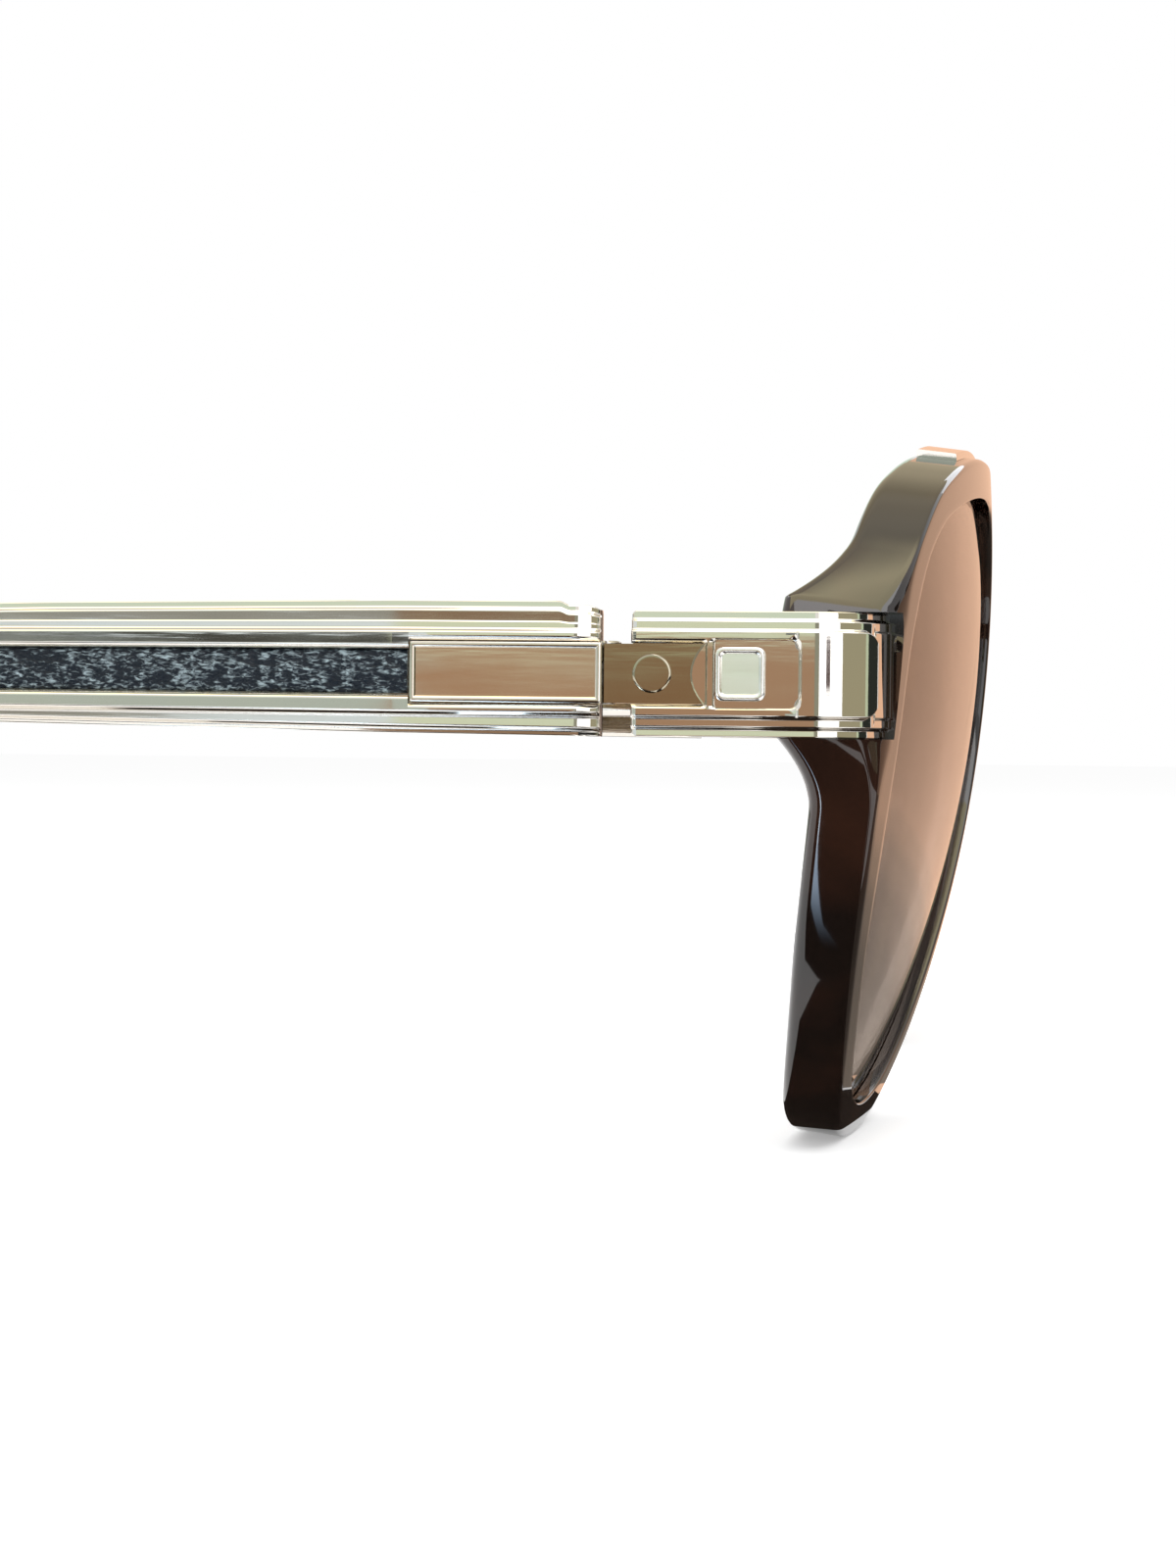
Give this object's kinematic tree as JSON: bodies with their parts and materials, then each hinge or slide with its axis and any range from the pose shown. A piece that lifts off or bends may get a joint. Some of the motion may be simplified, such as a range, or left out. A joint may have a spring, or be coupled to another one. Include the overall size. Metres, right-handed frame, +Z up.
{
  "type": "sunglasses",
  "caption": "Pilot sunglasses with a thick dark acetate front, stepped metal end pieces, sprung hinges and leather-inlaid metal temples with curved tips.",
  "frame": {"origin": "on the surface the sunglasses stand on, midway between left and right and between the brow's foremost point and the tips' rearmost point", "axes": "+Z up, the lenses face -Y and the temples run back along +Y; the wearer's right is -X"},
  "size_m": [0.1442, 0.1628, 0.0559],
  "materials": {
    "dark_acetate": "polished dark brown cellulose acetate",
    "polished_metal": "polished palladium plate",
    "bronze_metal": "polished plate with a warm brown tone",
    "silver": "bright silver plate",
    "navy_leather": "pebbled dark navy leather",
    "brown_lens": "brown lens fading to grey, glossy",
    "steel": "plain steel"
  },
  "bodies": {
    "front": {"front_frame": "dark_acetate", "brow_bar": "polished_metal", "lens_right": "brown_lens", "nose_pad_right": "dark_acetate", "end_piece_right": "polished_metal", "lower_pin_right": "steel", "upper_pin_right": "steel", "square_tile_right": "silver", "hinge_leaf_right": "bronze_metal", "leaf_rivet_right": "bronze_metal", "pivot_screw_right": "steel", "lens_left": "brown_lens", "nose_pad_left": "dark_acetate", "end_piece_left": "polished_metal", "lower_pin_left": "steel", "upper_pin_left": "steel", "square_tile_left": "silver", "hinge_leaf_left": "bronze_metal", "leaf_rivet_left": "bronze_metal", "pivot_screw_left": "steel"},
    "slider_right": {"hinge_slider_right": "steel"},
    "temple_right": {"temple_core_right": "polished_metal", "temple_plate_right": "bronze_metal", "leather_inlay_right": "navy_leather", "temple_tip_right": "dark_acetate", "spring_housing_right": "polished_metal", "housing_screw_right": "steel", "hinge_spring_right": "steel"},
    "slider_left": {"hinge_slider_left": "steel"},
    "temple_left": {"temple_core_left": "polished_metal", "temple_plate_left": "bronze_metal", "leather_inlay_left": "navy_leather", "temple_tip_left": "dark_acetate", "spring_housing_left": "polished_metal", "housing_screw_left": "steel", "hinge_spring_left": "steel"}
  },
  "joints": [
    {"name": "fold_right", "type": "hinge", "parent": "front", "child": "slider_right", "pos_m": [-0.0674, -0.05148, 0.0354], "axis": [0, 0, -1], "range_deg": [0, 90]},
    {"name": "flex_right", "type": "slide", "parent": "slider_right", "child": "temple_right", "axis": [0, 1, 0], "range_m": [0, 0.0018], "stiffness_N_per_m": 3000, "springref_m": -0.0005, "deforming": ["hinge_spring_right"]},
    {"name": "fold_left", "type": "hinge", "parent": "front", "child": "slider_left", "pos_m": [0.0674, -0.05148, 0.0354], "axis": [0, 0, 1], "range_deg": [0, 82]},
    {"name": "flex_left", "type": "slide", "parent": "slider_left", "child": "temple_left", "axis": [0, 1, 0], "range_m": [0, 0.0018], "stiffness_N_per_m": 3000, "springref_m": -0.0005, "deforming": ["hinge_spring_left"]}
  ]
}
